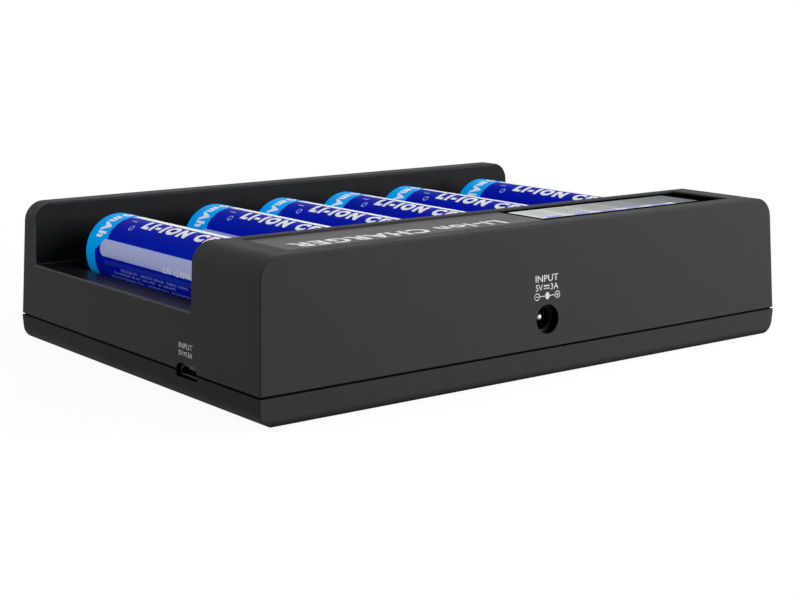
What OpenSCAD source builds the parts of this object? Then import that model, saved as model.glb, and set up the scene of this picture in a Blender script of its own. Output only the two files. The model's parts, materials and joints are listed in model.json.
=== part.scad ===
// Charger for six cylindrical lithium cells, with a cell in each bay.
// The origin is the centre of the base, on the surface that the feet rest on.
// The head with the sockets and the display is at +Y, the low front wall at -Y,
// and +X is the side with the small USB socket.

/* [Casing] */
// Width of the casing at the seam, side to side
body_w = 158; // [156:0.5:170]
// Height of the casing without its feet
body_h = 35.4; // [34.6:0.1:40]
// Height of the seam above the underside of the casing
lower_h = 6.6; // [6.2:0.1:7]
// Draft of all outer walls, in degrees
draft = 2.7; // [1:0.1:3.5]
// Radius along the top of both sides
top_r = 5; // [3.5:0.1:7]
// Radius along the bottom of both sides
bottom_r = 3.4; // [2.6:0.1:4]
// Radius of the small edges all round
edge_r = 0.5; // [0.3:0.05:0.8]
// Distance that the arc of a small round passes the faces that it joins
round_bite = 0.04; // [0.03:0.01:0.06]
// Thickness of the outer walls
wall_t = 2; // [1.6:0.1:2.4]
// Thickness of the floor of the bottom shell
floor_t = 2; // [1.6:0.1:2.2]
// Thickness of the roof of the head
roof_t = 3; // [2.6:0.1:3.6]

/* [Seam] */
// Height of the groove that marks the seam
seam_gap = 0.45; // [0.3:0.05:0.7]
// Depth of the groove that marks the seam
seam_depth = 0.6; // [0.4:0.05:0.8]
// Thickness of the lip of the bottom shell
lip_t = 1; // [0.8:0.05:1.1]
// Height of the lip of the bottom shell
lip_h = 1.6; // [1:0.1:2]
// Clearance round the lip
lip_clear = 0.1; // [0.05:0.01:0.2]

/* [Tray] */
// Thickness of the front wall
front_t = 7.4; // [7:0.1:9]
// Depth of the head
head_d = 28.3; // [27.6:0.1:30]
// Height of the sills beside the bays, above the underside
sill_h = 20; // [19:0.1:21]
// Height of the bottom of each trough, above the underside
trough_h = 14; // [13.6:0.1:14.6]
// Radius of each trough
trough_r = 14; // [13:0.1:14.6]
// Thickness of the tray
tray_t = 2; // [1.6:0.1:2.2]
// Radius of the lip of a trough at a sill
sill_lip_r = 1.8; // [1:0.1:2.2]
// Radius of the ridge between two troughs
ridge_r = 1.5; // [1:0.1:1.8]

/* [Bays and cells] */
// Distance between the middles of the four inner bays
inner_pitch = 21; // [20.4:0.1:21.6]
// Distance from the centre line to the middle of the outer bays
outer_x = 59.5; // [58.6:0.1:60.4]
// Diameter of a cell
cell_d = 18.5; // [18.2:0.1:18.8]
// Length of a cell
cell_l = 65; // [64:0.1:66]
// Distance from the head to the positive end of a cell
cell_gap = 2.6; // [2.2:0.1:3]
// Clearance between the front wall and a slider that is pulled back
wall_clear = 0.2; // [0.1:0.05:0.6]
// Clearance between a cell and what touches it
touch_clear = 0.05; // [0.02:0.01:0.1]

/* [Sliders] */
// Way that a slider still has behind a full-length cell
travel = 4.5; // [3:0.1:4.6]
// Width of the tower of a slider
tower_w = 9; // [8:0.1:9.4]
// Thickness of the tower, along its travel
tower_t = 3.3; // [3:0.1:3.4]
// Height of the top of the tower above the axis of the cell
tower_rise = 5.5; // [4.6:0.1:6]
// Width of the neck in its slot
neck_w = 3; // [2.6:0.1:3.2]
// Width of the foot under the tray
foot_w = 12; // [11:0.1:12.4]
// Length of the foot
foot_l = 11; // [10:0.1:12]
// Distance that the foot reaches ahead of the tower
foot_ahead = 5; // [4.4:0.1:5.6]
// Thickness of the foot
foot_t = 3.5; // [3.2:0.1:3.6]
// Clearance of the moving faces
slide_clear = 0.3; // [0.2:0.01:0.35]
// Length of the slot in the tray
slot_l = 37; // [34:0.5:38]
// Clearance between the neck and the sides of its slot
slot_clear = 0.2; // [0.1:0.01:0.3]
// Radius of the corners of the tower
tower_r = 2; // [1:0.1:3]
// Thickness of the ribs that guide and carry the feet
rib_t = 1.2; // [1:0.1:1.6]
// Thickness of the contact strips of the sliders
strip_t = 0.3; // [0.2:0.01:0.35]
// Width of the contact plate
plate_w = 6; // [5:0.1:7]
// Width of the tail of the contact and of its brush
tail_w = 2; // [1.6:0.1:2.2]
// Gap between the brush and its rail, and between the dimple and the cell
brush_gap = 0.1; // [0.08:0.01:0.15]
// Radius of the dimple of the contact plate
dimple_r = 2; // [1.6:0.1:2.4]
// Radius of the flat tip of the dimple
dimple_tip_r = 1.2; // [0.8:0.1:1.4]
// Length of the brush, along its rail
brush_l = 3.8; // [3:0.1:4.4]
// Length of the fold of the contact plate over the tower
fold_l = 2; // [1.4:0.1:2.6]
// Height of the dimple of the contact plate
dimple_h = 0.3; // [0.2:0.05:0.4]
// Width of a contact rail
rail_w = 3; // [2.4:0.1:4]
// Thickness of a contact rail
rail_t = 0.3; // [0.2:0.05:0.4]

/* [Springs] */
// Radius of the coils of a spring, to the middle of the wire
coil_r = 1.45; // [1.4:0.01:1.5]
// Radius of the wire of a spring
wire_r = 0.25; // [0.2:0.01:0.28]
// Number of coils shown
coils = 14; // [10:1:16]
// Radius of the pegs that hold a spring
peg_r = 1; // [0.9:0.01:1.1]
// Distance from the fixed pegs to the main board
anchor_in = 5.2; // [4.2:0.1:8]
// Gap between the foot of a slider and the eye of its spring
hook_gap = 0.6; // [0.4:0.1:1]

/* [Head] */
// Width of the lens
lens_w = 135; // [120:0.5:138]
// Depth of the lens
lens_d = 19.3; // [18:0.1:19.6]
// Thickness of the lens
lens_t = 1.2; // [1:0.1:1.4]
// Depth of the face of the lens below the rim
lens_drop = 0.4; // [0.2:0.05:0.6]
// Clearance round the lens
lens_clear = 0.1; // [0.05:0.01:0.2]
// Distance from the middle of the lens to the back of the casing, at the seam
lens_back = 16; // [15.8:0.1:16.2]
// Width of the window of the display
window_w = 55.4; // [50:0.1:58]
// Radius of the corners of the lens
lens_r = 1; // [0.5:0.1:2]
// Depth of the window of the display
window_d = 14.2; // [11:0.1:14.6]
// Place of the middle of the window, along the width
window_x = -35.7; // [-37:0.1:-33]
// Width of the openings for the positive contacts
port_w = 7; // [6.6:0.1:8]
// Height of the openings for the positive contacts
port_h = 11.6; // [11:0.1:12]
// Width of a positive contact
leaf_w = 6; // [5:0.1:6.4]
// Thickness of a positive contact
leaf_t = 0.35; // [0.25:0.01:0.4]

/* [Sockets] */
// Height of the axis of the round socket above the underside
dc_h = 13.3; // [12.8:0.1:13.8]
// Diameter of the hole for the round socket
dc_hole_d = 6.8; // [6.4:0.1:7.4]
// Diameter of the bore of the round socket
dc_bore_d = 5.6; // [5.3:0.1:6]
// Depth of the bore of the round socket
dc_bore_l = 10; // [9:0.1:11]
// Diameter of the pin of the round socket
dc_pin_d = 2; // [1.6:0.1:2.5]
// Depth of the tip of the pin behind the face of the socket
dc_pin_drop = 0.2; // [0.1:0.1:1.6]
// Width of the body of the round socket
dc_body_w = 9; // [8.4:0.1:10]
// Length of the body of the round socket
dc_body_l = 14; // [12.5:0.1:15]
// Height of the axis of the USB socket below the top of the main board
usb_drop = 0.1; // [0:0.05:0.3]
// Distance from the USB socket to the back of the casing
usb_in = 29.5; // [28.6:0.1:30.4]
// Width of the USB opening
usb_w = 8.8; // [8.4:0.1:9.4]
// Height of the USB opening
usb_h = 3.2; // [3:0.1:3.6]
// Width of the cut corners of the USB opening
usb_cut = 1.2; // [0.8:0.1:1.4]
// Gap between the opening and the shell of the USB socket
usb_gap = 0.35; // [0.3:0.01:0.4]
// Thickness of the sheet of the USB shell
usb_sheet = 0.3; // [0.2:0.01:0.35]
// Length of the USB shell
usb_l = 5.6; // [5:0.1:6]
// Depth of the mouth of the USB shell behind the wall's outer face
usb_sink = 1; // [0.6:0.1:1.4]

/* [Boards] */
// Thickness of the main board
board_t = 1.6; // [1.2:0.1:1.7]
// Distance from the axis of the round socket to the board
dc_rise = 6.5; // [6.3:0.1:6.6]
// Depth of the main board, front to back
board_d = 38; // [37:0.5:38.5]
// Clearance between the board and the walls
board_clear = 1.5; // [1.2:0.1:2]
// Thickness of the display board
display_board_t = 1.2; // [1:0.1:1.4]
// Thickness of the backlight
backlight_t = 1.6; // [1.2:0.1:2]
// Thickness of the LCD panel
lcd_t = 2.4; // [2:0.1:2.8]
// Overlap of the LCD panel round its window
lcd_lap = 1.6; // [1.2:0.1:1.8]
// Overlap of the display board round the panel
display_board_lap = 0.6; // [0.2:0.1:1]
// Radius of the posts under the main board
post_r = 2.5; // [2.2:0.1:3]
// Radius of the pegs on the posts
post_peg_r = 1.2; // [1:0.1:1.5]
// Distance of the posts from the long edges of the board
post_in = 4; // [3.5:0.1:5]
// Size of the controller chip
controller_size = [10, 10, 1.4]; // [1:0.1:12]
// Size of a charge chip
charge_chip_size = [5, 4, 1.5]; // [1:0.1:6]
// Size of an inductor
inductor_size = [6, 6, 3]; // [2:0.1:7]
// Diameter of a capacitor
capacitor_d = 6.3; // [5:0.1:8]
// Height of a capacitor
capacitor_h = 7.7; // [5:0.1:10]
// Size of the connectors of the flat cable
connector_size = [13, 4, 2.4]; // [2:0.1:14]
// Thickness of the flat cable
cable_t = 0.3; // [0.2:0.05:0.4]
// Width of the flat cable
cable_w = 10; // [8:0.5:12]

/* [Feet and screws] */
// Height of the feet below the casing
foot_proud = 0.6; // [0.5:0.05:0.9]
// Diameter of the feet
pad_d = 9; // [8:0.1:10]
// Depth of the recess for a foot
pad_sink = 0.8; // [0.6:0.05:1]
// Clearance round a foot in its recess
pad_clear = 0.1; // [0.05:0.01:0.2]
// Width of the bevel round the face of a foot
pad_bevel = 0.4; // [0.2:0.05:0.5]
// Distance of the feet from the sides
pad_in_x = 15; // [14:0.5:17]
// Distance of the feet from the front and back
pad_in_y = 14; // [13.5:0.5:16]
// Radius of the shank of a screw
screw_r = 1.3; // [1.1:0.05:1.4]
// Radius of the head of a screw
screw_head_r = 2.4; // [2.2:0.05:2.6]
// Height of the head of a screw
screw_head_h = 1.7; // [1.4:0.1:2]
// Length of the shank of a screw
screw_l = 9; // [7:0.1:10]
// Clearance round the shank in its boss
pilot_clear = 0.03; // [0.02:0.01:0.05]
// Clearance round the shank and the head in the bottom shell
screw_clear = 0.25; // [0.2:0.01:0.3]
// Thickness of the bottom shell under the head of a screw
seat_t = 1.4; // [1.2:0.1:1.8]
// Distance of the corner screws from the sides
screw_in_x = 7; // [6.8:0.1:7.4]
// Distance of the corner screws from the front and back
screw_in_y = 6.5; // [6.3:0.1:6.9]
// Distance from the middle screws to the head
mid_screw_in = 33.7; // [30.7:0.1:36.7]
// Radius of the bosses
boss_r = 3; // [2.8:0.1:3.2]
// Wall round the recess of a screw's head
seat_wall = 1; // [0.8:0.1:1.2]

/* [Hidden] */
$fn = 64;
far = 200;
eps = 0.01;
t_draft = tan(draft);
bays = 6;

// Levels
base_z = foot_proud;
seam_z = base_z + lower_h;
top_z = base_z + body_h;
sill_z = base_z + sill_h;
trough_z = base_z + trough_h + trough_r;
cell_z = base_z + trough_h + cell_d / 2 + touch_clear;
split_z = seam_z - seam_gap / 2;
floor_z = base_z + floor_t;
dc_z = base_z + dc_h;
board_top = dc_z - dc_rise;
board_z = board_top - board_t;
usb_z = board_top - usb_drop;
roof_z = top_z - roof_t;
lens_floor = top_z - lens_drop - lens_t;

// Depth of the tray and of the casing: the cell, the room in front of it, and
// the slider behind it with all its travel
tray_l = cell_gap + cell_l + brush_gap + dimple_h + strip_t + tower_t + travel
         + wall_clear;
body_d = front_t + tray_l + head_d;

// Places along the depth
wall_y = -body_d / 2 + front_t;
head_y = body_d / 2 - head_d;
cell_y1 = head_y - cell_gap;
cell_y0 = cell_y1 - cell_l;
plate_y = cell_y0 - brush_gap - dimple_h;
tower_y = plate_y - strip_t;
lens_y = body_d / 2 - lens_back;
dc_face_y = body_d / 2 - wall_t - t_draft * (dc_z + dc_body_w / 2 - seam_z)
            - touch_clear;
board_y1 = body_d / 2 - wall_t - board_clear - t_draft * lower_h;
board_y0 = board_y1 - board_d;
anchor_y = board_y0 - anchor_in;
usb_y = body_d / 2 - usb_in;
mid_screw_y = head_y - mid_screw_in;

// Places across the width
bay_x = [-outer_x, -1.5 * inner_pitch, -0.5 * inner_pitch,
         0.5 * inner_pitch, 1.5 * inner_pitch, outer_x];
gap_x = (outer_x + 1.5 * inner_pitch) / 2;

// Slider: the foot hangs under the trough, on the keeper ribs
foot_top = base_z + trough_h - tray_t - slide_clear;
foot_z = foot_top - foot_t;
keeper_z = foot_z - slide_clear;
tower_top = cell_z + tower_rise;
foot_y1 = tower_y + foot_ahead;
foot_y0 = foot_y1 - foot_l;
hook_y = foot_y1 + coil_r + wire_r + hook_gap;
spring_z = foot_z + coil_r + wire_r;
guide_x = foot_w / 2 + slide_clear;
guide_y0 = foot_y0 - travel - 1;
keeper_x = foot_w * 0.375;
slot_half = neck_w / 2 + slot_clear;

// Screws: corners and the two in the middle
screw_at = [for (x = [-1, 1], y = [-1, 1])
                [x * (body_w / 2 - screw_in_x), y * (body_d / 2 - screw_in_y)],
            [-gap_x, mid_screw_y], [gap_x, mid_screw_y]];
screw_seat = floor_z + seat_t;
boss_join = seam_z;

// Main board: posts, and the rows of the parts on it
post_at = concat([for (x = [-gap_x, 0, gap_x]) [x, board_y0 + post_in]],
                 [for (x = [-gap_x, gap_x]) [x, board_y1 - post_in]]);
chip_y = board_y1 - 15;
inductor_y = board_y1 - 7;
controller_x = gap_x - 4;
capacitor_x = [-inner_pitch, inner_pitch, gap_x + 5];
charge_chip_in = -6;
inductor_in = 1.5;
cable_x = window_x - 8;
cable_y = lens_y + 4;
leaf_floor = board_top + 1;

// Feet
pad_at = [for (x = [-1, 1], y = [-1, 1])
              [x * (body_w / 2 - pad_in_x), y * (body_d / 2 - pad_in_y)]];

plastic = [0.09, 0.09, 0.095];
nickel = [0.78, 0.77, 0.74];
brass = [0.83, 0.68, 0.38];
board_green = [0.05, 0.27, 0.16];

// Half width or half depth of the casing at height z
function half(full, z) = full / 2 - t_draft * abs(z - seam_z);

// Outline of a thin strip of thickness t that is bent along the points p
function unit(v) = v / norm(v);
function left(v) = [-v[1], v[0]];
function bend(p, i) =
    let (a = unit(p[max(i, 1)] - p[max(i, 1) - 1]),
         j = min(i, len(p) - 2),
         b = unit(p[j + 1] - p[j]),
         m = unit(left(a) + left(b)))
    m / (m * left(a));
function ribbon(p, t) = concat(
    [for (i = [0:len(p) - 1]) p[i] + bend(p, i) * t / 2],
    [for (i = [len(p) - 1:-1:0]) p[i] - bend(p, i) * t / 2]);

// A bent strip of width w whose path lies in the Y-Z plane
module strip(p, t, w) {
    along_x(w) polygon(ribbon(p, t));
}

// Extrusions of an outline drawn in X-Z, Y-Z: centred on the third axis
module along_y(l) {
    rotate([90, 0, 0]) linear_extrude(l, center = true) children();
}
module along_x(l) {
    rotate([90, 0, 90]) linear_extrude(l, center = true) children();
}

// The same outline, from one place on Y to another
module from_y(y0, y1) {
    translate([0, (y0 + y1) / 2, 0]) along_y(y1 - y0) children();
}

// Rectangle w by d with corner radius r
module round_rect(w, d, r) {
    square([w - 2 * r, d], center = true);
    square([w, d - 2 * r], center = true);
    for (x = [-1, 1], y = [-1, 1])
        translate([x * (w / 2 - r), y * (d / 2 - r)]) circle(r);
}

// Section of the casing across one axis: widest at the seam, drafted both
// ways, with its corners rounded by r0 below and r1 above
module section(full, z0, z1, r0, r1) {
    zc1 = z1 - r1;
    xc1 = half(full, zc1) - r1 / cos(draft);
    zc0 = z0 + r0;
    xc0 = half(full, zc0) - r0 / cos(draft);
    right = [[xc0, z0],
             [xc0 + r0 * cos(draft), zc0 - r0 * sin(draft)],
             [full / 2, seam_z],
             [xc1 + r1 * cos(draft), zc1 + r1 * sin(draft)],
             [xc1, z1]];
    polygon(concat(right, [for (i = [4:-1:0]) [-right[i][0], right[i][1]]]));
    for (s = [-1, 1]) {
        translate([s * xc0, zc0]) circle(r0);
        translate([s * xc1, zc1]) circle(r1);
    }
}

// The casing as one block
module casing() {
    intersection() {
        along_y(far) section(body_w, base_z, top_z, bottom_r, top_r);
        along_x(far) section(body_d, base_z, top_z, edge_r, edge_r);
    }
}

// The space inside the outer walls
module inside() {
    inset = 2 * wall_t / cos(draft);
    intersection() {
        along_y(far) section(body_w - inset, floor_z, roof_z,
                             bottom_r - wall_t, top_r - wall_t);
        along_x(far) section(body_d - inset, floor_z, roof_z, edge_r, edge_r);
    }
}

// What is left of a sharp corner outside its round of radius r. The arc goes
// a little past both faces, so that it crosses them at a clear angle.
module corner_nib(r) {
    difference() {
        translate([-r, -r]) square(r + 1);
        translate([-r, -r]) circle(r + round_bite);
    }
}

// Cuts the fillet of the casing's outline where it meets a face across Y: up
// both sides from z0 and round both corners. The face is at y at that height,
// looks towards sy and leans by the angle lean.
module outline_round(y, sy, z0, lean) {
    zc = top_z - top_r;
    xc = half(body_w, zc) - top_r / cos(draft);
    side_l = (zc - z0) / cos(draft) + top_r * tan(draft);
    for (sx = [0, 1]) mirror([sx, 0, 0])
        translate([xc, y - sy * tan(lean) * (zc - z0), zc])
        rotate([sy * lean, -draft, 0]) {
            translate([top_r, 0, -side_l]) linear_extrude(side_l)
                mirror([0, sy < 0 ? 1 : 0]) corner_nib(edge_r);
            rotate([90, 0, 0]) rotate_extrude(angle = 90 - draft)
                translate([top_r, 0]) mirror([0, sy > 0 ? 1 : 0]) corner_nib(edge_r);
        }
}

// Cuts the round of the straight top edge of a face across Y, at y, that looks
// towards sy. It ends a little inside the corners and lies a little deeper.
module top_round(y, sy) {
    xc = half(body_w, top_z - top_r) - top_r / cos(draft);
    translate([0, y, top_z]) mirror([0, sy < 0 ? 1 : 0, 0])
        along_x(2 * (xc + edge_r / 2)) translate(-1.5 * round_bite * [1, 1])
        corner_nib(edge_r);
}

// Outline of the tray's upper surface: everything above it, in X-Z
module bay_space() {
    lip_dz = trough_z - sill_z + sill_lip_r;
    lip_x = sqrt(pow(trough_r + sill_lip_r, 2) - pow(lip_dz, 2));
    lip_z = sill_z - sill_lip_r;
    lip_edge = lip_z + sill_lip_r * lip_dz / (trough_r + sill_lip_r);
    ridge_dz = sqrt(pow(trough_r + ridge_r, 2) - pow(inner_pitch / 2, 2));
    ridge_z = trough_z - ridge_dz;
    ridge_half = ridge_r * inner_pitch / 2 / (trough_r + ridge_r);
    difference() {
        union() {
            translate([-far / 2, sill_z]) square([far, far]);
            for (x = bay_x) {
                translate([x, trough_z]) circle(trough_r);
                translate([x - lip_x, lip_edge]) square([2 * lip_x, trough_r]);
            }
            for (i = [-1:1])
                translate([i * inner_pitch - ridge_half, ridge_z])
                    square([2 * ridge_half, trough_r]);
        }
        for (x = [-outer_x, outer_x], s = [-1, 1])
            translate([x + s * lip_x, lip_z]) circle(sill_lip_r);
        for (s = [-1, 1])
            translate([s * (1.5 * inner_pitch + lip_x), lip_z])
                circle(sill_lip_r);
        for (i = [-1:1])
            translate([i * inner_pitch, ridge_z]) circle(ridge_r + round_bite);
    }
}

// Everything above the tray's underside, in X-Z
module above_underside() {
    translate([-far / 2, sill_z - tray_t]) square([far, far]);
    for (x = bay_x) translate([x, trough_z]) circle(trough_r + tray_t);
}

// Outline of the USB opening in Y-Z, grown by g
module usb_outline(g) {
    w = usb_w / 2 + g;
    h = usb_h / 2 + g;
    polygon([[-w, -h], [w, -h], [w, h - usb_cut], [w - usb_cut, h],
             [-w + usb_cut, h], [-w, h - usb_cut]]);
}

// Hole for the USB socket through the side wall
module usb_hole() {
    translate([body_w / 2, usb_y, usb_z]) along_x(3 * wall_t) usb_outline(0);
}

// The casing above the seam, hollow, with the tray let into it
module top_skin() {
    difference() {
        casing();
        translate([-far / 2, -far / 2, -far + split_z]) cube(far);
        difference() {
            translate([-far / 2, -far / 2, split_z]) cube([far, far, seam_gap]);
            translate([0, 0, split_z - eps]) linear_extrude(seam_gap + 2 * eps)
                square([body_w, body_d] - 2 * seam_depth * [1, 1], center = true);
        }
        translate([0, 0, split_z - eps]) linear_extrude(lip_h + lip_clear + eps)
            square([body_w, body_d]
                   - 2 * (wall_t - lip_t - lip_clear) * [1, 1], center = true);
        difference() {
            inside();
            from_y(wall_y - wall_t, head_y + wall_t) above_underside();
        }
        from_y(wall_y, head_y) bay_space();
        outline_round(wall_y, 1, sill_z, 0);
        outline_round(head_y, -1, sill_z, 0);
        top_round(wall_y, 1);
        top_round(head_y, -1);
        outline_round(body_d / 2, 1, seam_z, draft);
        outline_round(-body_d / 2, -1, seam_z, draft);
    }
}

// Bosses that take the screws, from the seam up to the tray or the roof
module top_bosses() {
    for (p = screw_at)
        translate([p[0], p[1], boss_join])
            cylinder(r = boss_r, h = (p[1] > head_y ? roof_z + roof_t / 4
                                      : sill_z - tray_t / 2) - boss_join);
}

// Ribs that guide the sliders' feet, and the pegs that hold the springs
module slider_guides() {
    guide_mid = trough_r + tray_t / 2;
    for (x = bay_x) {
        for (s = [-1, 1])
            translate([x + s * (guide_x + rib_t / 2) - rib_t / 2, guide_y0, foot_z])
                cube([rib_t, slot_l + foot_l,
                      trough_z - foot_z
                      - sqrt(pow(guide_mid, 2) - pow(guide_x + rib_t, 2))]);
        translate([x, anchor_y, spring_z - 2 * wire_r])
            cylinder(r = peg_r,
                     h = base_z + trough_h - tray_t / 2 - spring_z + 2 * wire_r);
    }
}

module top_shell() {
    color(plastic) difference() {
        union() {
            top_skin();
            top_bosses();
            slider_guides();
        }
        for (x = bay_x) {
            translate([x - slot_half, wall_y, foot_z])
                cube([2 * slot_half, slot_l, trough_z - foot_z]);
            translate([x - port_w / 2, head_y - eps, cell_z - port_h / 2])
                cube([port_w, wall_t + 2 * eps, port_h]);
        }
        for (p = screw_at)
            translate([p[0], p[1], boss_join - eps])
                cylinder(r = screw_r + pilot_clear, h = screw_l);
        translate([0, lens_y, lens_floor])
            linear_extrude(lens_t + lens_drop + 1)
            round_rect(lens_w, lens_d, lens_r);
        translate([window_x, lens_y, roof_z - 1]) linear_extrude(roof_t)
            square([window_w, window_d], center = true);
        translate([0, body_d / 2, dc_z]) rotate([90, 0, 0])
            cylinder(d = dc_hole_d, h = 4 * wall_t, center = true);
        usb_hole();
    }
}

module bottom_shell() {
    color(plastic) difference() {
        union() {
            difference() {
                casing();
                translate([-far / 2, -far / 2, split_z]) cube(far);
                inside();
            }
            lip();
            for (p = screw_at) translate([p[0], p[1], base_z + floor_t / 2])
                cylinder(r = boss_r + seat_wall, h = boss_join - base_z - floor_t / 2);
            for (p = post_at) translate([p[0], p[1], base_z + floor_t / 2]) {
                cylinder(r = post_r, h = board_z - base_z - floor_t / 2);
                cylinder(r = post_peg_r, h = board_top - base_z - floor_t / 2);
            }
            keeper_ribs();
        }
        for (p = screw_at) {
            translate([p[0], p[1], -1]) cylinder(r = screw_r + screw_clear, h = far);
            translate([p[0], p[1], -1])
                cylinder(r = screw_head_r + screw_clear, h = screw_seat + 1);
        }
        for (p = pad_at) translate([p[0], p[1], -1])
            cylinder(r = pad_d / 2 + pad_clear, h = base_z + pad_sink + 1);
        usb_hole();
    }
}

// Lip of the bottom shell, inside the wall of the top shell
module lip() {
    outer = [body_w, body_d] - 2 * (wall_t - lip_t) * [1, 1];
    translate([0, 0, split_z - 1]) linear_extrude(lip_h + 1) difference() {
        square(outer, center = true);
        square(outer - 2 * lip_t * [1, 1], center = true);
    }
}

// Ribs under the sliders' feet, and a rib under each contact rail
module keeper_ribs() {
    for (x = bay_x) {
        for (s = [-1, 1])
            translate([x + s * keeper_x - rib_t / 2, guide_y0, floor_z - 1])
                cube([rib_t, slot_l + foot_l, keeper_z - floor_z + 1]);
        translate([x - rib_t / 2, guide_y0, floor_z - 1])
            cube([rib_t, board_y0 - board_clear - guide_y0, board_top - floor_z + 1]);
    }
}

module display_lens() {
    color([0.03, 0.03, 0.035]) translate([0, lens_y, lens_floor])
        linear_extrude(lens_t)
        round_rect(lens_w - 2 * lens_clear, lens_d - 2 * lens_clear,
                   lens_r - lens_clear);
}

// A flat plate under the window of the display, its top at z
module under_window(z, t, grow) {
    translate([window_x, lens_y, z - t]) linear_extrude(t)
        square([window_w, window_d] + 2 * grow * [1, 1], center = true);
}
module lcd_panel() {
    color([0.62, 0.66, 0.6]) under_window(roof_z, lcd_t, lcd_lap);
}
module backlight() {
    color("white") under_window(roof_z - lcd_t, backlight_t, lcd_lap);
}
module display_board() {
    color(board_green)
        under_window(roof_z - lcd_t - backlight_t, display_board_t,
                     lcd_lap + display_board_lap);
}

// Flat cable between the boards, with a connector on each
module flat_cable() {
    cable_top = roof_z - lcd_t - backlight_t - display_board_t;
    color([0.85, 0.85, 0.82]) translate([cable_x, cable_y, 0]) {
        translate([-cable_w / 2, -cable_t / 2, board_top])
            cube([cable_w, cable_t, cable_top - board_top]);
        for (z = [board_top, cable_top - connector_size[2]])
            translate([-connector_size[0] / 2, -connector_size[1] / 2, z])
                cube(connector_size);
    }
}

module main_board() {
    w = body_w - 2 * (wall_t + board_clear);
    color(board_green) translate([0, 0, board_z]) linear_extrude(board_t)
        difference() {
            translate([-w / 2, board_y0]) square([w, board_d]);
            for (p = screw_at) translate(p) circle(boss_r + board_clear);
            for (p = post_at) translate(p) circle(post_peg_r + lip_clear);
            translate([body_w / 2, usb_y])
                square([2 * (usb_l + usb_sink + usb_gap), usb_w - usb_gap], center = true);
        }
}

// A chip of size s on the main board at [x, y]
module chip(x, y, s) {
    translate([x - s[0] / 2, y - s[1] / 2, board_top]) cube(s);
}
module controller_chip() {
    color([0.1, 0.1, 0.1]) chip(controller_x, chip_y, controller_size);
}
module charge_chips() {
    color([0.12, 0.12, 0.12]) for (x = bay_x)
        chip(x + charge_chip_in, chip_y, charge_chip_size);
}
module inductors() {
    color([0.3, 0.3, 0.32]) for (x = bay_x)
        chip(x + inductor_in, inductor_y, inductor_size);
}
module capacitors() {
    color([0.75, 0.76, 0.78]) for (x = capacitor_x)
        translate([x, inductor_y, board_top]) cylinder(d = capacitor_d, h = capacitor_h);
}

// Round socket: body with its bore, pin, and the leaf that meets the plug
module dc_socket_body() {
    color([0.07, 0.07, 0.07]) difference() {
        translate([-dc_body_w / 2, dc_face_y - dc_body_l, board_top])
            cube([dc_body_w, dc_body_l, dc_rise + dc_body_w / 2]);
        translate([0, dc_face_y + eps, dc_z]) rotate([90, 0, 0])
            cylinder(d = dc_bore_d, h = dc_bore_l + eps);
        translate([-tail_w / 2 - slot_clear, dc_face_y - dc_bore_l - 1.6, leaf_floor])
            cube([tail_w + 2 * slot_clear, dc_bore_l - 1, dc_rise / 2]);
    }
}
module dc_socket_pin() {
    r = dc_pin_d / 2;
    l = dc_bore_l - dc_pin_drop;
    color(nickel) translate([0, dc_face_y - dc_bore_l, dc_z]) rotate([-90, 0, 0]) {
        cylinder(r = r, h = l - r);
        translate([0, 0, l - r]) sphere(r);
    }
}
module dc_socket_contact() {
    y = dc_face_y - dc_bore_l;
    z = leaf_floor + strip_t / 2;
    touch = dc_z - dc_bore_d / 2 + 0.1;
    color(nickel)
        strip([[y - 1.4, z], [y + 0.4, z], [y + 4, touch], [y + 5.2, touch],
               [y + 6.8, touch - 0.8]], strip_t, tail_w);
}

module usb_shell() {
    x1 = body_w / 2 - usb_sink;
    color(nickel) translate([x1 - usb_l / 2, usb_y, usb_z]) along_x(usb_l)
        difference() {
            usb_outline(-usb_gap);
            usb_outline(-usb_gap - usb_sheet);
        }
}
module usb_tongue() {
    x1 = body_w / 2 - usb_sink;
    color([0.1, 0.1, 0.1]) translate([x1 - usb_l, usb_y, usb_z]) {
        translate([0.6 - usb_sheet / 2, 0, 0]) along_x(1.2)
            usb_outline(-usb_gap - usb_sheet);
        translate([1, -2, 0.1]) cube([usb_l - 1.8, 4, 0.6]);
    }
}

module screws() {
    color([0.6, 0.6, 0.62]) for (p = screw_at)
        translate([p[0], p[1], screw_seat - screw_head_h]) difference() {
            union() {
                cylinder(r = screw_head_r, h = screw_head_h);
                cylinder(r = screw_r, h = screw_head_h + screw_l);
            }
            for (a = [0, 90]) rotate(a) translate([-1.5, -0.3, -eps])
                cube([3, 0.6, 0.9]);
        }
}

module rubber_foot(i) {
    p = pad_at[i - 1];
    color([0.04, 0.04, 0.04]) translate([p[0], p[1], 0]) {
        cylinder(r1 = pad_d / 2 - pad_bevel, r2 = pad_d / 2, h = pad_bevel);
        translate([0, 0, pad_bevel])
            cylinder(d = pad_d, h = base_z + pad_sink - pad_bevel);
    }
}

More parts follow.
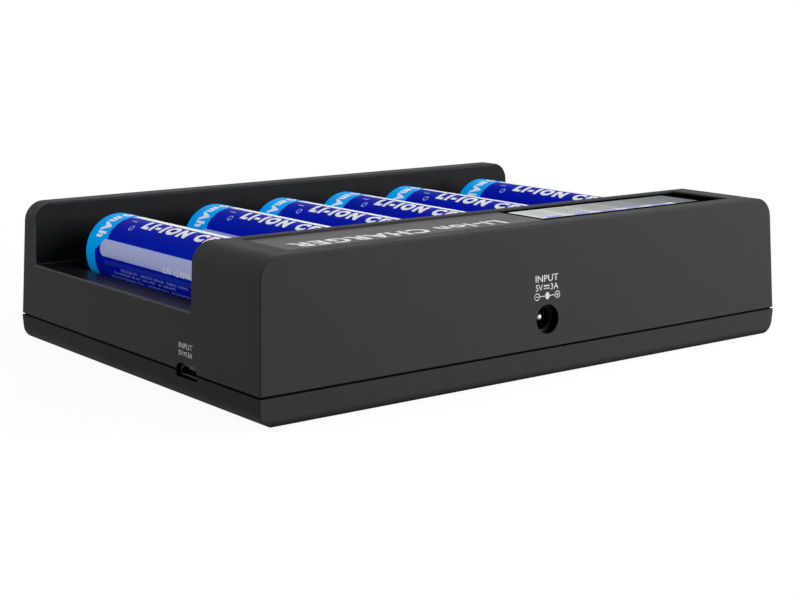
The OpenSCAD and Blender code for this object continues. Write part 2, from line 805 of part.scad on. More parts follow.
// Slider: tower behind the cell, neck in the slot, foot under the tray
module slider(b) {
    top = tower_top;
    color(plastic) translate([bay_x[b - 1], 0, 0]) {
        from_y(tower_y - tower_t, tower_y) intersection() {
            translate([0, top - tower_w]) round_rect(tower_w, 2 * tower_w, tower_r);
            translate([0, trough_z]) circle(trough_r - slide_clear);
        }
        translate([-neck_w / 2, tower_y - tower_t, foot_top - eps])
            cube([neck_w, tower_t, 4]);
        difference() {
            translate([-foot_w / 2, foot_y0, foot_z]) cube([foot_w, foot_l, foot_t]);
            translate([-tail_w / 2 - slot_clear, tower_y - slot_clear / 2, foot_z - 1])
                cube([tail_w + 2 * slot_clear, strip_t + slot_clear, foot_t + 2]);
        }
        translate([-peg_r - 1, foot_y1 - eps, foot_top - 0.8])
            cube([2 * peg_r + 2, hook_y - foot_y1 + peg_r + 0.2, 0.8]);
        translate([0, hook_y, spring_z - 2 * wire_r])
            cylinder(r = peg_r, h = foot_top - spring_z + wire_r);
    }
}

// Contact plate on the tower, with a dimple, a tail through the slot and
// a brush that runs on the rail
module negative_contact(b) {
    y = tower_y + strip_t / 2;
    rail_z = board_top + rail_t + brush_gap + strip_t / 2;
    waist = base_z + trough_h + 1.6;
    color(nickel) translate([bay_x[b - 1], 0, 0]) {
        strip([[y - fold_l, tower_top + strip_t / 2], [y, tower_top + strip_t / 2],
               [y, waist]], strip_t, plate_w);
        strip([[y, waist + 0.5], [y, foot_z - 0.2], [y + 0.3 * brush_l, rail_z + 0.1],
               [y + 0.7 * brush_l, rail_z], [y + brush_l, rail_z + 0.4]],
              strip_t, tail_w);
        translate([0, plate_y - eps, cell_z]) rotate([-90, 0, 0])
            cylinder(r1 = dimple_r, r2 = dimple_tip_r, h = dimple_h);
    }
}

// Spring: one wire, with an eye round each peg and the coils between them.
// Each place on the wire is a point, and the direction away from its arc.
function eye_place(a, y) =
    [[coil_r * cos(a), y + coil_r * sin(a), 0], [cos(a), sin(a), 0]];
function coil_place(a, y) =
    [[coil_r * cos(a), y, coil_r * sin(a)], [cos(a), 0, sin(a)]];

// Wire through the places, as a tube with flat sides
module wire(places, sides) {
    last = len(places) - 1;
    points = [for (i = [0:last])
                  let (t = unit(places[min(i + 1, last)][0] - places[max(i - 1, 0)][0]),
                       n = unit(places[i][1] - (places[i][1] * t) * t),
                       m = cross(t, n))
                  for (s = [0:sides - 1])
                      let (a = 360 * s / sides)
                      places[i][0] + wire_r * (cos(a) * n + sin(a) * m)];
    walls = [for (i = [0:last - 1], s = [0:sides - 1])
                 let (n = (s + 1) % sides, a = i * sides, c = a + sides)
                 each [[a + s, c + s, a + n], [a + n, c + s, c + n]]];
    polyhedron(points, concat([[for (s = [0:sides - 1]) s]], walls,
                              [[for (s = [sides - 1:-1:0]) last * sides + s]]));
}
module spring(b) {
    lead = 1.6;
    steps = 7;
    eye = 300;
    eye_steps = 12;
    pitch = (anchor_y - hook_y - 2 * lead) / coils;
    color([0.7, 0.7, 0.72]) translate([bay_x[b - 1], 0, spring_z])
        wire(concat([for (i = [-eye_steps:0]) eye_place(eye * i / eye_steps, hook_y)],
                    [for (i = [0:coils * steps])
                         coil_place(360 * i / steps, hook_y + lead + pitch * i / steps)],
                    [for (i = [0:eye_steps]) eye_place(eye * i / eye_steps, anchor_y)]),
             5);
}

module contact_rail(b) {
    color(brass) translate([bay_x[b - 1] - rail_w / 2, guide_y0, board_top])
        cube([rail_w, board_y0 + post_in - guide_y0, rail_t]);
}

// Folded leaf from the board through the face of the head to the cell
module positive_contact(b) {
    nose = cell_y1 + touch_clear + leaf_t / 2;
    back = head_y + wall_t + 0.6;
    foot = board_top + leaf_t / 2;
    color(nickel) translate([bay_x[b - 1], 0, 0])
        strip([[back + 3, foot], [back, foot], [back, cell_z - 5.3],
               [nose, cell_z - 1], [nose, cell_z + 1], [back, cell_z + 4.8]],
              leaf_t, leaf_w);
}

// Cell in its sleeve: folded edge and steel at the negative end, groove,
// insulating ring and cap at the positive end
module cell(b) {
    r = cell_d / 2;
    l = cell_l;
    color([0.05, 0.12, 0.6]) translate([bay_x[b - 1], cell_y0, cell_z])
        rotate([-90, 0, 0]) rotate_extrude()
        polygon([[0, 0.15], [r - 1.6, 0.15], [r - 1.6, 0], [r - 0.5, 0],
                 [r - 0.15, 0.15], [r, 0.5], [r, l - 3.6], [r - 0.35, l - 3.2],
                 [r - 0.35, l - 2.6], [r, l - 2.2], [r, l - 0.6],
                 [r - 0.15, l - 0.3], [r - 0.5, l - 0.15], [r - 2.2, l - 0.15],
                 [r - 2.2, l - 0.6], [3.9, l - 0.6], [3.6, l], [0, l]]);
}

top_shell();
bottom_shell();
display_lens();
lcd_panel();
backlight();
display_board();
flat_cable();
main_board();
controller_chip();
charge_chips();
inductors();
capacitors();
dc_socket_body();
dc_socket_pin();
dc_socket_contact();
usb_shell();
usb_tongue();
screws();
for (i = [1:4])
    rubber_foot(i);
for (b = [1:bays]) {
    slider(b);
    negative_contact(b);
    spring(b);
    contact_rail(b);
    positive_contact(b);
    cell(b);
}
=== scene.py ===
"""Dresses the charger: materials for every node, the prints on the casing and
on the cells, the display, and wound springs in place of the plain ones.
All sizes are in millimetres until they are handed to Blender in metres."""
import json
import math
from functools import reduce

import bmesh
import bpy
from mathutils import Matrix, Vector


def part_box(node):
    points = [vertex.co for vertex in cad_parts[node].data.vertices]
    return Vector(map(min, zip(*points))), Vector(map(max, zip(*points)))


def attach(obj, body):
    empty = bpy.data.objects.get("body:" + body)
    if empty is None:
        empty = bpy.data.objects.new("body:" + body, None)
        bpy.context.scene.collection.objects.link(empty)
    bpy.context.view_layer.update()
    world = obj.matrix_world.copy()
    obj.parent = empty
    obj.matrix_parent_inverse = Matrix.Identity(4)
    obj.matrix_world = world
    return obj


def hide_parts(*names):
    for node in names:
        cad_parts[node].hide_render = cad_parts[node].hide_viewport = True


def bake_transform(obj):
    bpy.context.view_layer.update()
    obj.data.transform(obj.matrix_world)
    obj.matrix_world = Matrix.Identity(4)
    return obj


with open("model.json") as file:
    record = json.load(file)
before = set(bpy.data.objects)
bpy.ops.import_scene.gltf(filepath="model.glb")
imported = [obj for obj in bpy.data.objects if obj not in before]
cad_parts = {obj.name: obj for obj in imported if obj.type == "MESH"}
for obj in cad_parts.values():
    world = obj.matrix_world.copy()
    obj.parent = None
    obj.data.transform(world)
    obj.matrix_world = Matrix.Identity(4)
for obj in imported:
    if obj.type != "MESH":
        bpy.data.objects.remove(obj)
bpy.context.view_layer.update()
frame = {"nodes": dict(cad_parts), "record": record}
nodes = frame["nodes"]

MM = 0.001
BAYS = range(1, 7)
WHITE = (1, 1, 1, 1)

# Camera: solved from the photograph
AZIMUTH, ELEVATION = math.radians(142.5286), math.radians(10.9353)
DISTANCE = 434.3
TARGET = (-3.5564, -4.9771, 8.704)
LENS, SENSOR = 74.80, 36

# Lamps: place and size in metres, power in watts
LAMPS = (("key", (-0.5, 0.56, 0.3), 0.5, 11.9),
         ("fill", (0.8, -0.15, 0.45), 0.7, 4.65),
         ("top", (-0.1, -0.3, 1.1), 0.8, 2))
AMBIENT = 0.23                  # strength of the light from all round

# Floor: half its width in metres, its colour for the camera and for the light
# that it throws back, and the share of plain white in what the camera sees,
# which rises from GLOW_NEAR to 1 between two distances in metres
FLOOR_HALF = 4.0
FLOOR_SEEN, FLOOR_BOUNCE = 0.9, 0.14
GLOW_NEAR = 0.94
GLOW_START, GLOW_FULL = 0.15, 0.4

# Casing, as in the part
DRAFT = math.radians(2.7)
BODY_W, BODY_D = 158.0, 112.0   # at the seam
SEAM_Z, SEAM_HALF = 7.2, 0.27   # the groove between the shells
SILL_Z = 20.6
WALL_Y, HEAD_Y = -48.6, 27.4    # the tray's ends
TRAY_X = 78.2                   # half the width of the tray's floor
DC_MOUTH_R = 3.43
USB_MOUTH = (70, BODY_W / 2 - 0.2), (21.9, 31.1), (5.4, 9.2)    # in x, y and z
LINE_TOP = 31                   # where the painted highlight up the wall's end fades

# Texture of the mouldings: size and depth of the grain, and rounding of edges
GRAIN, GRAIN_DEPTH = 0.28, 0.012
EDGE = 0.25

# The part of the display that shows
WINDOW_X = -60.4, -7.1
WINDOW_Y = 33.0, 45.8

# Cells
CELL_R = 9.25
CAP_R = 4.4
BLUE = (0, 24, 168)
SLEEVE_GLOSS = 0.004

# Prints: height above the surface, and of thin lines above other ink
LIFT = 0.02
OVER = 0.004
CURVE_SIDES = 24                # of discs and rings

# Springs
WIRE_R, WIRE_SIDES = 0.25, 8
COIL_R = 1.45
COILS, COIL_STEPS = 14, 16      # turns, and points along each
LEAD = 1.6                      # from an eye to the first or last turn
EYE_TURN = 300                  # degrees of wire round an eye


def box_mm(node):
    """Lowest and highest corner of a node at rest, in mm"""
    lo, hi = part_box(node)
    return Vector(lo) / MM, Vector(hi) / MM


def srgb(r, g, b):
    """Linear colour from one that is written as 0-255"""
    def linear(v):
        v /= 255
        return v / 12.92 if v <= 0.04045 else ((v + 0.055) / 1.055) ** 2.4
    return linear(r), linear(g), linear(b), 1.0


def object_of(name, data):
    """A new object in the scene for a mesh, text, lamp or camera"""
    piece = bpy.data.objects.new(name, data)
    bpy.context.scene.collection.objects.link(piece)
    return piece


def object_from(mesh, name, materials):
    """A new object from a bmesh, which is used up"""
    data = bpy.data.meshes.new(name)
    mesh.to_mesh(data)
    mesh.free()
    for material in materials:
        data.materials.append(material)
    return object_of(name, data)


# ---- Materials

def feed(tree, socket, value):
    """Sets a socket, or links it where the value is another node's output"""
    if isinstance(value, bpy.types.NodeSocket):
        tree.links.new(value, socket)
    else:
        socket.default_value = value


def add_node(tree, kind, inputs=(), **settings):
    """A new node with its settings and its inputs"""
    node = tree.nodes.new(kind)
    for key, value in settings.items():
        setattr(node, key, value)
    for key, value in dict(inputs).items():
        feed(tree, node.inputs[key], value)
    return node


class Surface:
    """A material under construction: its nodes, and short ways to add them"""

    def __init__(self, name, color, roughness, **shader):
        self.material = bpy.data.materials.new(name)
        self.material.use_nodes = True
        self.tree = self.material.node_tree
        self.shader = self.tree.nodes["Principled BSDF"]
        self.set("Base Color", color)
        self.set("Roughness", roughness)
        for socket, value in shader.items():
            self.set(socket.replace("_", " "), value)
        self.place = self.add("ShaderNodeTexCoord").outputs["Object"]

    def set(self, socket, value):
        """Gives one of the shader's sockets a value or another node's output"""
        feed(self.tree, self.shader.inputs[socket], value)

    def add(self, kind, inputs=(), **settings):
        """A new node in the material"""
        return add_node(self.tree, kind, inputs, **settings)

    def axes(self, vector):
        """The x, y and z of a vector"""
        return self.add("ShaderNodeSeparateXYZ", {"Vector": vector}).outputs

    def math(self, operation, a, b=0.0, c=0.0):
        """The result of an operation on one to three numbers"""
        return self.add("ShaderNodeMath", {0: a, 1: b, 2: c},
                        operation=operation).outputs[0]

    def all_of(self, *factors):
        """1 where every factor is 1"""
        return reduce(lambda a, b: self.math("MULTIPLY", a, b), factors)

    def any_of(self, *factors):
        """1 where any factor is 1"""
        return reduce(lambda a, b: self.math("MAXIMUM", a, b), factors)

    def ramp(self, value, start, end, **settings):
        """0 to 1 as a value in metres goes from start to end in mm"""
        return self.add("ShaderNodeMapRange",
                        {"Value": value, "From Min": start * MM, "From Max": end * MM},
                        **settings).outputs[0]

    def inside(self, value, low, high, soft=0.04):
        """1 where a value in metres lies between low and high in mm, else 0"""
        return self.all_of(self.ramp(value, low - soft, low + soft),
                           self.ramp(value, high + soft, high - soft))

    def noise(self, size, detail=2.0, stretch=(1, 1, 1)):
        """Noise with features of the given size in mm"""
        place = self.add("ShaderNodeMapping", {"Vector": self.place, "Scale": stretch})
        return self.add("ShaderNodeTexNoise",
                        {"Vector": place.outputs[0], "Scale": 1 / (size * MM),
                         "Detail": detail}).outputs["Fac"]

    def between(self, factor, low, high):
        """A number from low to high as factor goes over its middle range"""
        return self.add("ShaderNodeMapRange",
                        {"Value": factor, "From Min": 0.3, "From Max": 0.7,
                         "To Min": low, "To Max": high}).outputs[0]

    def mix(self, factor, a, b):
        """Colour a where the factor is 0 and b where it is 1"""
        return self.add("ShaderNodeMix", {0: factor, 6: a, 7: b},
                        data_type="RGBA").outputs[2]

    def grain(self, height, depth, edge=0.0):
        """Bump of the given depth in mm, over edges rounded by edge in mm"""
        inputs = {"Height": height, "Strength": 1.0, "Distance": depth * MM}
        if edge:
            inputs["Normal"] = self.add("ShaderNodeBevel", {"Radius": edge * MM},
                                        samples=4).outputs[0]
        self.set("Normal", self.add("ShaderNodeBump", inputs).outputs[0])

    def mottle(self, size, low, high, dark, light):
        """Roughness and colour that vary softly over patches of the given size"""
        patch = self.noise(size)
        self.set("Roughness", self.between(patch, low, high))
        self.set("Base Color", self.mix(patch, dark, light))


def shell_material():
    """Moulded black plastic with a fine texture outside, smooth in the tray and
    in the mouths of the two sockets, with painted shade and painted highlights"""
    s = Surface("shell_plastic", srgb(46, 46, 47), 0.55, Specular_IOR_Level=0.038)
    x, y, z = s.axes(s.place)

    # where it is smooth, which is also where painted shade darkens it
    along_tray = s.inside(y, WALL_Y - 0.2, HEAD_Y + 0.3, 0.3)
    tray = s.all_of(along_tray, s.inside(x, -TRAY_X, TRAY_X),
                    s.inside(z, SEAM_Z + 1, 40))
    usb = s.all_of(*[s.inside(value, *span) for value, span in zip((x, y, z), USB_MOUTH)])
    pin_lo, pin_hi = box_mm("dc_socket_pin")
    rise = s.math("SUBTRACT", z, (pin_lo.z + pin_hi.z) / 2 * MM)
    radius = s.math("SQRT", s.math("ADD", s.math("MULTIPLY", x, x),
                                   s.math("MULTIPLY", rise, rise)))
    dc = s.all_of(s.inside(radius, -1, DC_MOUTH_R, 0.01),
                  s.inside(y, HEAD_Y, BODY_D / 2 + 1))
    smooth = s.any_of(tray, usb, dc)

    # outside: painted shade, darker low on the two sides, along the lower edge and in the
    # groove
    patch = s.noise(6)
    outside = s.mix(patch, srgb(44, 44, 45), srgb(48, 48, 49))
    facing = s.axes(s.add("ShaderNodeNewGeometry").outputs["Normal"])[0]
    side_skirt = s.all_of(s.inside(z, -1, SEAM_Z, 0.05),
                          s.math("GREATER_THAN", s.math("ABSOLUTE", facing), 0.75))
    outside = s.mix(s.math("MULTIPLY", side_skirt, 0.9), outside, srgb(26, 26, 27))
    low = s.ramp(z, 2.6, 0.7, interpolation_type="SMOOTHSTEP")
    outside = s.mix(low, outside, srgb(24, 24, 25))
    groove = s.inside(z, SEAM_Z - SEAM_HALF, SEAM_Z + SEAM_HALF, 0.05)
    outside = s.mix(groove, outside, srgb(3, 3, 3))

    # inside: painted shade, darker than the outside, a little less dark high on the walls and
    # down in the troughs
    inside = s.mix(s.ramp(z, 22, 32), srgb(12, 12, 14), srgb(20, 20, 22))
    inside = s.mix(s.ramp(z, SILL_Z - 0.4, SILL_Z - 3.4), inside, srgb(28, 28, 30))
    colour = s.mix(smooth, outside, inside)
    # painted shade: near black down the mouths of the two sockets
    colour = s.mix(s.any_of(usb, dc), colour, srgb(6, 6, 7))

    # painted highlights: pale lines along the sills and the wall, where the mould's edges
    # would shine
    lean = math.tan(DRAFT)
    reach = s.math("MULTIPLY_ADD", z, lean, s.math("ABSOLUTE", x))
    end = BODY_W / 2 + lean * SEAM_Z
    sill_line = s.all_of(along_tray, s.inside(reach, end - 0.5, end + 1),
                         s.inside(z, SILL_Z - 0.32, SILL_Z + 1))
    wall_line = s.all_of(s.inside(y, WALL_Y - 0.25, WALL_Y + 0.25),
                         s.inside(reach, end - 0.25, end + 1),
                         s.inside(z, SILL_Z, LINE_TOP, 1))
    foot_line = s.all_of(s.inside(y, WALL_Y - 0.3, WALL_Y + 0.1),
                         s.inside(reach, 68, end + 1, 4),
                         s.inside(z, SILL_Z - 0.1, SILL_Z + 0.25))
    painted_highlight = s.math("MULTIPLY", s.any_of(sill_line, wall_line, foot_line),
                  s.between(s.noise(2), 0.5, 0.8))
    s.set("Base Color", s.mix(painted_highlight, colour, srgb(88, 87, 86)))

    # smoother where the mould is polished, and duller low down and in the groove
    dull = s.any_of(s.math("MULTIPLY", low, 0.35), s.math("MULTIPLY", groove, 0.4))
    rough = s.math("MULTIPLY_ADD", smooth, -0.25, s.between(patch, 0.51, 0.59))
    s.set("Roughness", s.math("ADD", rough, dull))
    relief = s.math("MULTIPLY", s.noise(GRAIN, 3),
                    s.math("MULTIPLY_ADD", smooth, -0.85, 1.0))
    s.grain(relief, GRAIN_DEPTH, EDGE)
    return s.material


def slider_material():
    """Moulded black plastic with a coarser, shallower texture than the shell's"""
    dark, light = srgb(44, 44, 45), srgb(48, 48, 49)
    s = Surface("slider_plastic", dark, 0.42, Specular_IOR_Level=0.12)
    s.mottle(6, 0.38, 0.46, dark, light)
    s.grain(s.noise(0.5, 3), 0.006, EDGE)
    return s.material


def metal(name, color, rough, stretch=(1, 12, 1)):
    """Sheet or wire, with fine drawing marks along one axis"""
    s = Surface(name, srgb(*color), rough, Metallic=1.0)
    marks = s.noise(0.3, 2, stretch)
    s.set("Roughness", s.between(marks, rough - 0.08, rough + 0.1))
    s.grain(marks, 0.002)
    return s.material


def board(name):
    """Green solder mask with copper tracks that show through it"""
    s = Surface(name, srgb(18, 74, 44), 0.35)
    tracks = s.add("ShaderNodeTexBrick",
                   {"Vector": s.place, "Scale": 160.0, "Mortar Size": 0.02,
                    "Color1": srgb(14, 62, 38), "Color2": srgb(18, 72, 44),
                    "Mortar": srgb(40, 110, 60)}, offset=0.35).outputs["Color"]
    s.set("Base Color", tracks)
    s.grain(s.noise(0.6), 0.01)
    return s.material


def resin(name, level, rough, size=0.2):
    """Moulded resin, ferrite or rubber: one dark tone with a dry grain"""
    s = Surface(name, srgb(level, level, level), rough)
    s.mottle(2, rough - 0.05, rough + 0.05, srgb(level - 4, level - 4, level - 4),
             srgb(level + 4, level + 4, level + 4))
    s.grain(s.noise(size, 4), 0.02)
    return s.material


def pale(name, color, rough=0.5):
    """Pale plastic or film"""
    s = Surface(name, srgb(*color), rough)
    s.mottle(3, rough - 0.05, rough + 0.05, srgb(*[v - 5 for v in color]), srgb(*color))
    s.grain(s.noise(0.3), 0.004)
    return s.material


def ink(name, color, rough=0.45, gloss=0.1):
    """Printed colour, with the slight unevenness of a pad print"""
    s = Surface(name, srgb(*color), rough, Specular_IOR_Level=gloss)
    speck = s.noise(0.12, 3)
    s.set("Base Color", s.mix(speck, srgb(*[max(v - 10, 0) for v in color]), srgb(*color)))
    s.grain(speck, 0.002)
    return s.material


def lens_material():
    """Gloss lens, printed dark behind, with the display in its window, which painted light
    pales towards +X
    """
    dark = srgb(17, 17, 19)
    s = Surface("lens", dark, 0.4, Specular_IOR_Level=0.13)
    x, y, _ = s.axes(s.place)
    window = s.all_of(s.inside(x, *WINDOW_X), s.inside(y, *WINDOW_Y))
    # painted light: the display pales from its -X end to its +X end
    across = s.math("POWER", s.ramp(x, *WINDOW_X), 1.4)
    glass = s.mix(across, srgb(40, 43, 49), srgb(198, 200, 200))
    s.set("Base Color", s.mix(window, dark, glass))
    s.set("Roughness", s.between(s.noise(5), 0.38, 0.42))
    s.grain(s.noise(9, 1), 0.004)
    return s.material


def sleeve_material(bay):
    """Shrunk film, with bare steel inside its folded edges and a pale ring
    round the cap"""
    lo, hi = box_mm("cell_%d" % bay)
    s = Surface("cell_%d_sleeve" % bay, srgb(*BLUE), 0.22, Specular_IOR_Level=SLEEVE_GLOSS)
    away = s.add("ShaderNodeVectorMath",
                 {0: s.place, 1: ((lo.x + hi.x) / 2 * MM, 0, (lo.z + hi.z) / 2 * MM)},
                 operation="SUBTRACT").outputs[0]
    flat = s.add("ShaderNodeVectorMath", {0: away, 1: (1, 0, 1)},
                 operation="MULTIPLY").outputs[0]
    radius = s.add("ShaderNodeVectorMath", {0: flat}, operation="LENGTH").outputs["Value"]
    along = s.axes(s.place)[1]
    minus = s.all_of(s.inside(radius, -1, CELL_R - 1.58), s.inside(along, lo.y - 1, lo.y + 2))
    plus_end = s.inside(along, hi.y - 2, hi.y + 1)
    cap = s.all_of(s.inside(radius, -1, CAP_R), plus_end)
    ring = s.all_of(s.inside(radius, CAP_R, CELL_R - 2.1), plus_end)
    steel = s.any_of(minus, cap)
    film = s.mix(s.noise(14, 1), srgb(0, 20, 150), srgb(*BLUE))
    dressed = s.mix(ring, film, srgb(225, 225, 220))
    s.set("Base Color", s.mix(steel, dressed, srgb(190, 188, 182)))
    s.set("Metallic", s.math("MULTIPLY", steel, 0.75))
    s.grain(s.noise(3.5, 2), 0.012)
    return s.material


# ---- Prints: flat outlines in mm, then laid on a surface

class Print:
    """Flat shapes of one print, each with its ink, in mm"""

    def __init__(self, name, inks):
        self.name = name
        self.inks = inks
        self.mesh = bmesh.new()

    def shape(self, points, color=0, layer=0.0):
        """A filled outline in one of the inks, at a height above the lowest ink"""
        face = self.mesh.faces.new([self.mesh.verts.new((x, y, layer)) for x, y in points])
        face.material_index = color

    def bar(self, x, y, w, h, color=0, layer=0.0):
        """A rectangle centred on x, y"""
        self.shape([(x - w / 2, y - h / 2), (x + w / 2, y - h / 2),
                    (x + w / 2, y + h / 2), (x - w / 2, y + h / 2)], color, layer)

    def disc(self, x, y, rx, ry):
        """A filled ellipse centred on x, y"""
        turns = [2 * math.pi * i / CURVE_SIDES for i in range(CURVE_SIDES)]
        self.shape([(x + rx * math.cos(a), y + ry * math.sin(a)) for a in turns])

    def ring(self, x, y, r, line, color=0, layer=0.0):
        """A circle of radius r, drawn inwards with a line of the given width"""
        for i in range(CURVE_SIDES):
            a, b = (2 * math.pi * k / CURVE_SIDES for k in (i, i + 1))
            self.shape([(x + q * math.cos(t), y + q * math.sin(t))
                        for q, t in ((r, a), (r, b), (r - line, b), (r - line, a))],
                       color, layer)

    def letters(self, text, x, y, w, h, bold=0.0, color=0, layer=0.0, turn=0, apart=1.0):
        """Words centred on x, y that fill the length w and the height h, turned
        by degrees. Bolder letters need to stand further apart."""
        curve = bpy.data.curves.new("letters", "FONT")
        curve.body = text
        curve.offset = bold
        curve.space_character = apart
        curve.resolution_u = 3
        holder = object_of("letters", curve)
        bpy.context.view_layer.update()
        words = bpy.data.meshes.new_from_object(
            holder.evaluated_get(bpy.context.evaluated_depsgraph_get()))
        bpy.data.objects.remove(holder)
        bpy.data.curves.remove(curve)
        xs = [v.co.x for v in words.vertices]
        ys = [v.co.y for v in words.vertices]
        middle = Vector(((min(xs) + max(xs)) / 2, (min(ys) + max(ys)) / 2, 0))
        size = Matrix.Diagonal((w / (max(xs) - min(xs)), h / (max(ys) - min(ys)), 1, 1))
        words.transform(Matrix.Translation((x, y, layer))
                        @ Matrix.Rotation(math.radians(turn), 4, "Z")
                        @ size @ Matrix.Translation(-middle))
        old = len(self.mesh.faces)
        self.mesh.from_mesh(words)
        self.mesh.faces.ensure_lookup_table()
        for face in self.mesh.faces[old:]:
            face.material_index = color
        bpy.data.meshes.remove(words)

    def slice(self, step):
        """Cuts the shapes across at each step of x, so that they can bend"""
        values = [v.co.x for v in self.mesh.verts]
        for k in range(math.ceil(min(values) / step), math.ceil(max(values) / step)):
            bmesh.ops.bisect_plane(
                self.mesh, geom=self.mesh.verts[:] + self.mesh.edges[:] + self.mesh.faces[:],
                plane_co=(k * step, 0, 0), plane_no=(1, 0, 0), dist=1e-5)

    def lay(self, where):
        """Puts each point in its place in mm, on the casing"""
        for v in self.mesh.verts:
            v.co = Vector(where(*v.co)) * MM
        piece = object_from(self.mesh, self.name, self.inks)
        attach(piece, "casing")


def leaning(half, up, out):
    """Distance from the middle and height of a point that stands out from a
    drafted face, where half is the casing's half size at the seam"""
    return (half - math.tan(DRAFT) * (up - SEAM_Z) + out * math.cos(DRAFT),
            up + out * math.sin(DRAFT))


def on_back(x, z):
    """Puts a print on the back face: right is -X, seen from behind"""
    def where(u, v, layer):
        depth, height = leaning(BODY_D / 2, z + v, LIFT + layer)
        return x - u, depth, height
    return where


def on_side(y, z):
    """Puts a print on the +X face: right is +Y, seen from that side"""
    def where(u, v, layer):
        depth, height = leaning(BODY_W / 2, z + v, LIFT + layer)
        return depth, y + u, height
    return where


def on_top(x, y, z):
    """Puts a print on a level face: right is +X, seen from the front"""
    return lambda u, v, layer: (x + u, y + v, z + LIFT + layer)


def round_cell(bay):
    """Puts a print round a cell: x goes round from the top towards +X, and y
    goes from the negative end towards the head"""
    lo, hi = box_mm("cell_%d" % bay)
    axis_x, axis_z = (lo.x + hi.x) / 2, (lo.z + hi.z) / 2

    def where(s, t, layer):
        r = CELL_R + LIFT + layer
        a = s / CELL_R
        return axis_x + r * math.sin(a), lo.y + t, axis_z + r * math.cos(a)
    return where


def direct_current(p, x, y, w, h):
    """Sign for direct current: a bar over three dashes"""
    line = h * 0.22
    p.bar(x, y + line, w, line)
    for i in (-1, 0, 1):
        p.bar(x + i * w * 0.37, y - line, w * 0.24, line)


def rating(p, y, w, h, bold):
    """5 V, the sign for direct current, 3 A"""
    p.letters("5V", -w * 0.345, y, w * 0.31, h, bold)
    direct_current(p, -w * 0.02, y, w * 0.25, h)
    p.letters("3A", w * 0.325, y, w * 0.35, h, bold)


def centre_pin(p, y):
    """Sign for a plug whose pin is positive: ringed minus, disc, ringed plus"""
    line = 0.18
    minus, plus = -3.13, 3.17
    for u in (minus, plus):
        p.ring(u, y, 0.85, line)
        p.bar(u, y, 0.8, line)
    p.bar(plus, y, line, 0.8, layer=OVER)
    p.disc(0.05, y, 0.66, 0.84)
    p.bar(-1.48, y, 1.6, line, layer=OVER)
    p.bar(1.5, y, 1.7, line, layer=OVER)


def casing_prints(white):
    """The ratings above the round socket and above the USB socket"""
    back = Print("print_back", [white])
    back.letters("INPUT", 0.0, 3.8, 7.0, 1.55, 0.008)
    rating(back, 1.75, 7.0, 1.45, 0.005)
    centre_pin(back, -0.3)
    back.lay(on_back(0, 19.7))

    side = Print("print_side", [white])
    side.letters("INPUT", 0, 0.9, 5.8, 1.22, 0.01)
    rating(side, -0.8, 5.8, 1.15, 0.01)
    side.lay(on_side(26.0, 11.95))


def cell_print(bay, inks):
    """Print on one sleeve: x goes round it from the top towards +X, and y is
    the distance from the negative end"""
    degree = math.radians(CELL_R)           # one degree round the sleeve, in mm
    cyan, white, lavender, sky, line_blue, small = range(6)
    low, middle, high = 0.01, 0.02, 0.03    # layers of ink over the band
    p = Print("cell_%d_print" % bay, inks)

    def area(points, color, layer):
        p.shape([(a * degree, t) for a, t in points], color, layer)

    # the band at the negative end, with the capacity
    area([(-180, 0.5), (180, 0.5), (180, 5.0), (80, 5.1), (61.5, 9.9), (48, 9.3),
          (-60, 9.0), (-80, 5.1), (-180, 5.0)], cyan, 0.0)
    p.letters("mAh", 36 * degree, 5.8, 49 * degree, 3.9, 0.05, white, low, apart=1.2)
    p.letters("3500", -21 * degree, 5.6, 56 * degree, 3.7, 0.045, white, low, apart=1.15)

    # white stripe on the top, a pale print made white to carry a painted highlight along it
    # as well, with the words and two small marks beside it
    area([(-22, 9.2), (3, 9.3), (3, 61), (-22, 61)], white, low)
    p.letters("LI-ION CELL", 17.5 * degree, 39.5, 39, 3.8, 0.07, white, low, turn=90,
              apart=1.35)
    p.ring(32.5 * degree, 16.6, 0.95, 0.32, sky, low)
    p.bar(17 * degree, 14.3, 0.4, 2.4, small, low)

    # lavender stripe with a rounded end, in a thin sky blue outline
    start, end, steps = 7.7, 61, 16
    for grow, color, layer in ((0.2, sky, low), (0.0, lavender, middle)):
        top, bottom = 62 * degree - grow, 87 * degree + grow * 0.3
        r = (bottom - top) / 2
        points = [((top + bottom) / 2 - r * math.cos(a), start + r - grow - r * math.sin(a))
                  for a in [math.pi * i / steps for i in range(steps + 1)]]
        p.shape([(top, end)] + points + [(bottom, end)], color, layer)

    # small print on and under that stripe
    area([(92, 10), (99, 10), (99, 52), (92, 52)], line_blue, low)
    for angle, start, end, height, color, words in (
            (84.5, 12, 38, 0.75, small, "RECHARGEABLE LI-ION CELL  3.7V  3500mAh  12.95Wh"),
            (84, 39, 52, 1.4, white, "3.7V  12.95Wh"),
            (102.5, 18, 50, 0.7, small, "VOLTAGE 3.7V   CAPACITY 3500mAh   ENERGY 12.95Wh"),
            (109, 14, 44, 0.6, small, "CYLINDER 65 BY 18.5 MM   47 GRAMS"),
            (117, 12, 49.5, 0.7, small, "RECHARGEABLE CELL   LITHIUM ION   0123456789")):
        p.letters(words, angle * degree, (start + end) / 2, end - start, height,
                  0.0, color, high, turn=90)
    p.slice(6 * degree)
    p.lay(round_cell(bay))


